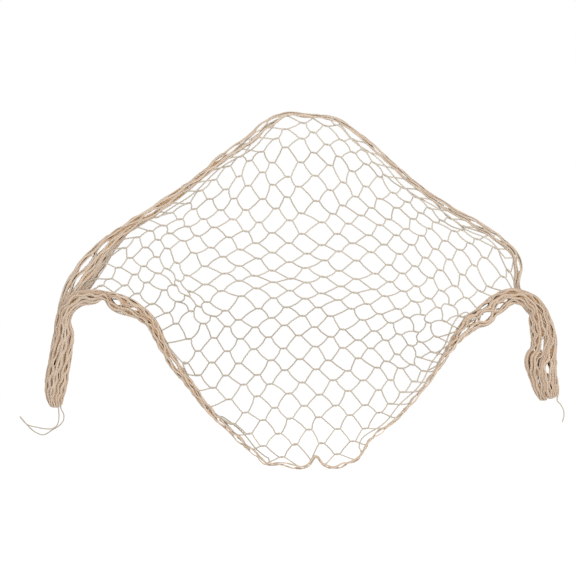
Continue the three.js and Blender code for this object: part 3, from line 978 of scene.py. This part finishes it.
# rows along the edge and depths in it, in half widths, of a twine's last points
RUN_IN_ROWS = np.array((0.35, 0.8, 1.3))
RUN_IN_DEPTHS = np.array((0.75, 0.45, 0.1))
RUN_IN_GOAL = 0.75
RUN_IN_MARGIN = 0.6
LEAST_TENDENCY = 0.25


def run_in(knot, beyond):
    """The last stretch of a twine, from a knot at the rim into the gathered edge beside it."""
    goal = knot["middle"] + RUN_IN_GOAL * (beyond - knot["middle"])
    found = []
    for edge, rows, places in (
        (UPPER_EDGE, upper_rows, upper_places), (LOWER_EDGE, lower_rows, lower_places),
    ):
        i, away = nearest(places, goal)
        found.append((away, rows[i], edge))
    away, row, edge = min(found, key=lambda entry: entry[0])
    along = directions(edge, np.array([row]))[0][0]
    heading = unit(sections(edge, np.array([row]))[0, :3] - knot["middle"])
    tendency = heading.dot(along)
    if abs(tendency) < LEAST_TENDENCY:
        tendency = 1 if row > len(edge) / 2 else -1
    rows = row + np.sign(tendency) * RUN_IN_ROWS
    ends = sections(edge, np.clip(rows, RUN_IN_MARGIN, len(edge) - 1 - RUN_IN_MARGIN))
    side = knot["middle"] - ends[0, :3]
    side = unit(side - along * side.dot(along))
    reach = ends[:, 3] * RUN_IN_DEPTHS
    return ends[:, :3] + side * reach[:, None]


BAR_BOW = 1.98 * MM
BAR_SLACK = 2.2
BAR_POINTS = (0.35, 0.65)
BAR_CHANNELS = (3, 4)


def bar(start, finish, slack, mark):
    """Two points on the bowed twine between two knots."""
    across = unit(np.cross(finish - start, FRONT_TO_BACK))
    bow = BAR_BOW * (1 + BAR_SLACK * slack)
    aside, back = (bow * scatter(*mark, channel) for channel in BAR_CHANNELS)
    lift = aside * across + back * FRONT_TO_BACK
    return [start + f * (finish - start) + lift for f in BAR_POINTS]


KNOT_REACH = 5.8 * MM
KNOT_PARTING = 0.7 * MM


def row_twines():
    """Routes of the twines, each of which goes to and fro between two half rows of knots."""
    routes = []
    for half_row in range(-1, LAST_HALF_ROW + 1):
        run, before = [], None
        for column in range(-OUTERMOST_COLUMN, OUTERMOST_COLUMN + 2):
            upper_knot = (column + half_row) % 2 == 0
            here = (column, half_row if upper_knot else half_row + 1)
            knot = knots.get(here)
            if knot:
                low = KNOT_PARTING * (1 if upper_knot else -1) * knot["down"]
                left = knot["middle"] + low - KNOT_REACH * knot["right"]
                right = knot["middle"] + low + KNOT_REACH * knot["right"]
                if run:
                    run += bar(run[-1], left, (knot["slack"] + before["slack"]) / 2, here)
                else:
                    run = list(run_in(knot, knot["beyond"][-1, 1 if upper_knot else -1])[::-1])
                run += [left, right]
            elif run:
                run += list(run_in(before, before["beyond"][1, -1 if upper_knot else 1]))
                routes.append(np.array(run))
                run = []
            before = knot
    return routes


RIM_TWINES = [
    # edge, the rows between which a twine runs inside it, and how far inside on the mean in mm
    ("upper", 5.6, 11.6, 7),
    ("upper", 14.5, 24.4, 9),
    ("lower", 18.2, 22.4, 7),
    ("lower", 30.4, 39.6, 8),
]
RIM_ROWS = 0.2
RIM_JOIN_ROWS = 0.5
RIM_SWAY = 0.45
RIM_SWAY_RATE = 2.6


def rim_twine(side, first, last, inset):
    """A twine of meshes that are drawn out along an edge: it lies just inside, and joins it twice."""
    edge, inward = (UPPER_EDGE, 1) if side == "upper" else (LOWER_EDGE, -1)
    rows = np.arange(first, last, RIM_ROWS)
    table, across = sections(edge, rows), directions(edge, rows)[1]
    leave = ease((rows - first) / RIM_JOIN_ROWS) * ease((last - rows) / RIM_JOIN_ROWS)
    sway = 1 + RIM_SWAY * np.sin(RIM_SWAY_RATE * rows + inset)
    off = leave * (table[:, 3] + MM * inset * sway)
    return table[:, :3] + inward * off[:, None] * across


panel_routes = row_twines() + [rim_twine(*twine) for twine in RIM_TWINES]
panel = lay_twine("open_panel", panel_routes, panel_twine, PANEL_DIAMETER, TWINE_LAY)
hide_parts("net")

# Knots. Where two rows meet, the lower twine is wrapped round the upper one and drawn tight, which
# leaves a small barrel that lies along the row.
KNOT_WRAPS = 2.6
KNOT_LENGTH = 5.8 * MM
WRAP_RADIUS = 1.75 * MM
WRAP_TWINE = 1 * MM
WRAP_POINTS = 6
WRAP_SIDES = 4
KNOT_SWELL = (0.9, 1.12)
KNOT_TONES = (0.0, 0.45)
KNOT_SEED = 4


def knot_tree():
    """Sets a wrapped knot at each point, turned along its row and facing out of the net."""
    size, count = "NodeSocketFloat", "NodeSocketInt"
    tree, given, add, end = new_tree(
        "knots",
        [("Wraps", size), ("Length", size), ("Radius", size), ("Twine", size), ("Seed", count)],
    )
    coil = add(
        "GeometryNodeCurveSpiral", (0, WRAP_POINTS), (1, given["Wraps"]), (2, given["Radius"]),
        (3, given["Radius"]), (4, given["Length"]),
    )
    lower = add("ShaderNodeMath", (0, given["Length"]), (1, -0.5), operation="MULTIPLY")
    centred = add(
        "GeometryNodeSetPosition", (0, coil), (3, add("ShaderNodeCombineXYZ", (2, lower)))
    )
    ring = add(
        "GeometryNodeCurvePrimitiveCircle", (0, WRAP_SIDES), (4, given["Twine"]), mode="RADIUS"
    )
    wrap = add("GeometryNodeCurveToMesh", (0, centred), (1, ring), (3, True))

    def stored(name):
        return add("GeometryNodeInputNamedAttribute", (0, name), data_type="FLOAT_VECTOR")

    turned = add(
        "FunctionNodeAxesToRotation", (0, stored("row_way")), (1, stored("face_way")),
        primary_axis="Z", secondary_axis="X",
    )

    def chance(least, most):
        return add(
            "FunctionNodeRandomValue", (2, least), (3, most), (8, given["Seed"]), out=1,
            data_type="FLOAT",
        )

    swell = chance(*KNOT_SWELL)
    tone = chance(*KNOT_TONES)
    placed = add(
        "GeometryNodeInstanceOnPoints", (0, given["Geometry"]), (2, wrap), (5, turned), (6, swell)
    )
    end(
        add(
            "GeometryNodeStoreNamedAttribute", (0, placed), (2, "tone"), (3, tone),
            data_type="FLOAT", domain="INSTANCE",
        )
    )
    return tree


def tie_knots(name, middles, row_ways, face_ways, tree):
    """One piece of knots at the given middles."""
    mesh = bpy.data.meshes.new(name + "_places")
    mesh.from_pydata([tuple(point) for point in middles], [], [])
    for label, ways in (("row_way", row_ways), ("face_way", face_ways)):
        stored = mesh.attributes.new(label, "FLOAT_VECTOR", "POINT")
        stored.data.foreach_set("vector", np.array(ways, dtype=np.float32).ravel())
    return finished_mesh(
        bpy.data.objects.new(name + "_places", mesh), name, tree,
        Wraps=KNOT_WRAPS, Length=KNOT_LENGTH, Radius=WRAP_RADIUS, Twine=WRAP_TWINE,
        Seed=KNOT_SEED, Material=panel_twine,
    )


panel_knots = tie_knots(
    "panel_knots",
    [knot["middle"] for knot in knots.values()],
    [knot["right"] for knot in knots.values()],
    [np.cross(knot["down"], knot["right"]) for knot in knots.values()],
    knot_tree(),
)
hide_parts("net")

# The length of all twine in the open panel. Laid flat with its meshes drawn long, as netting is
# measured, the open panel is about 1.13 m long and 0.3 m wide. Most of that is air.
twine_length = sum(np.linalg.norm(np.diff(route, axis=0), axis=1).sum() for route in panel_routes)

# Floor and light. A plain pale floor lies just under the hem, in even white light from all round
# with a broad soft lamp above the viewer's right shoulder.
FLOOR_LEVEL = -0.83
FLOOR_REACH = 2.5
FLOOR_WHITE = (0.93, 0.93, 0.93, 1)
LIGHT_WHITE = (1, 1, 1, 1)
LAMP_POWER = 110
LAMP_SIZE = 2.5
LAMP_PLACE = Vector((1.3, -3.2, 2.2))
floor_mesh = bpy.data.meshes.new("floor")
floor_corners = ((-1, -1), (1, -1), (1, 1), (-1, 1))
floor_mesh.from_pydata(
    [(x * FLOOR_REACH, y * FLOOR_REACH, FLOOR_LEVEL) for x, y in floor_corners],
    [],
    [(0, 1, 2, 3)],
)
floor_paint = bpy.data.materials.new("pale_floor")
floor_paint.use_nodes = True
floor_shader = floor_paint.node_tree.nodes["Principled BSDF"]
floor_shader.inputs["Base Color"].default_value = FLOOR_WHITE
floor_shader.inputs["Roughness"].default_value = 1
floor_mesh.materials.append(floor_paint)
floor = bpy.data.objects.new("floor", floor_mesh)
scene.collection.objects.link(floor)

world = bpy.data.worlds.new("even_white")
world.use_nodes = True
sky = world.node_tree.nodes["Background"]
sky.inputs["Color"].default_value = LIGHT_WHITE
sky.inputs["Strength"].default_value = 1
scene.world = world

lamp_data = bpy.data.lights.new("soft_lamp", "AREA")
lamp_data.energy = LAMP_POWER
lamp_data.size = LAMP_SIZE
lamp = bpy.data.objects.new("soft_lamp", lamp_data)
lamp.location = LAMP_PLACE
lamp.rotation_euler = (VIEW_MIDDLE - LAMP_PLACE).to_track_quat("-Z", "Y").to_euler()
scene.collection.objects.link(lamp)
